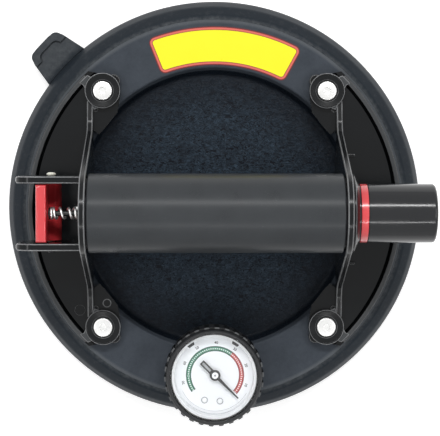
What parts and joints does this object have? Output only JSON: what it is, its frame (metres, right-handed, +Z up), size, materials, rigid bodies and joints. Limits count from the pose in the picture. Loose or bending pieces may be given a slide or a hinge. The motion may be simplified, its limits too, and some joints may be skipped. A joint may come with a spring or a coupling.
{
  "type": "suction cup lifter",
  "caption": "Hand-pumped suction cup lifter: round rubber cup with a release tab, grip with a vacuum pump and plunger, thumb release lever and a vacuum gauge.",
  "frame": {"origin": "centre of the round cup on its sealing plane, which is the plane that the lifter rests on", "axes": "+X along the grip towards the plunger, +Y away from the gauge, +Z up from the sealing plane through the grip"},
  "size_m": [0.2054, 0.2069, 0.0907],
  "materials": {
    "cup_rubber": "satin moulded rubber",
    "plate_plastic": "black moulding, fine leather grain in the dish, satin ring",
    "frame_plastic": "black satin moulding",
    "grip_plastic": "soft-touch dark grey",
    "gloss_black": "glossy black",
    "dark_plastic": "black",
    "signal_red": "glossy red",
    "steel": "bright zinc",
    "aluminium": "drawn tube",
    "brass": "turned",
    "cream_plastic": "pale head",
    "seal_rubber": "black seal rubber",
    "boot_rubber": "black moulded rubber",
    "inner_plastic": "acetal",
    "case_black": "black",
    "dial_white": "white enamel",
    "needle_black": "black",
    "felt": "felt disc",
    "lens": "clear"
  },
  "bodies": {
    "base_body": {"rubber_cup": "cup_rubber", "base_plate": "plate_plastic", "air_filter": "felt", "duct_seal": "seal_rubber", "left_frame": "frame_plastic", "right_frame": "frame_plastic", "screw_left_back": "steel", "screw_left_front": "steel", "screw_right_back": "steel", "screw_right_front": "steel", "nut_left_back": "steel", "nut_left_front": "steel", "nut_right_back": "steel", "nut_right_front": "steel", "grip_sleeve": "grip_plastic", "pump_cylinder": "aluminium", "end_bushing": "gloss_black", "wiper_seal": "seal_rubber", "valve_body": "inner_plastic", "body_seal": "seal_rubber", "inlet_valve": "seal_rubber", "pump_spring": "steel", "stem_spring": "steel", "lever_pin": "cream_plastic", "pin_clip": "steel", "gauge_boot": "boot_rubber", "gauge_case": "case_black", "gauge_dial": "dial_white", "dial_ring": "dial_white", "gauge_lens": "lens", "gauge_stem": "brass", "gauge_gasket": "seal_rubber", "bourdon_tube": "brass", "gauge_movement": "brass"},
    "plunger_body": {"plunger": "gloss_black", "indicator_ring": "signal_red", "piston": "inner_plastic", "piston_seal": "seal_rubber"},
    "lever_body": {"release_lever": "signal_red"},
    "stem_body": {"valve_stem": "dark_plastic", "stem_seal": "seal_rubber"},
    "needle_body": {"gauge_needle": "needle_black"}
  },
  "joints": [
    {"name": "plunger_slide", "type": "slide", "parent": "base_body", "child": "plunger_body", "axis": [1, 0, 0], "range_m": [-0.03, 0], "stiffness_N_per_m": 300, "springref_m": 0.012, "deforming": ["pump_spring"]},
    {"name": "lever_turn", "type": "hinge", "parent": "base_body", "child": "lever_body", "pos_m": [-0.0773, 0, 0.054], "axis": [0, 1, 0], "range_deg": [0, 12], "stiffness_Nm_per_rad": 0.06, "springref_deg": -8.59},
    {"name": "stem_slide", "type": "slide", "parent": "base_body", "child": "stem_body", "axis": [1, 0, 0], "range_m": [0, 0.0037], "deforming": ["stem_spring"]},
    {"name": "needle_turn", "type": "hinge", "parent": "base_body", "child": "needle_body", "pos_m": [0, -0.0797, 0.0385], "axis": [0, 0, 1], "range_deg": [0, 259], "stiffness_Nm_per_rad": 0.00002, "springref_deg": -17.19}
  ],
  "couplings": [
    {"joint": "stem_slide", "follows": "lever_turn", "m_per_rad": 0.0173}
  ]
}
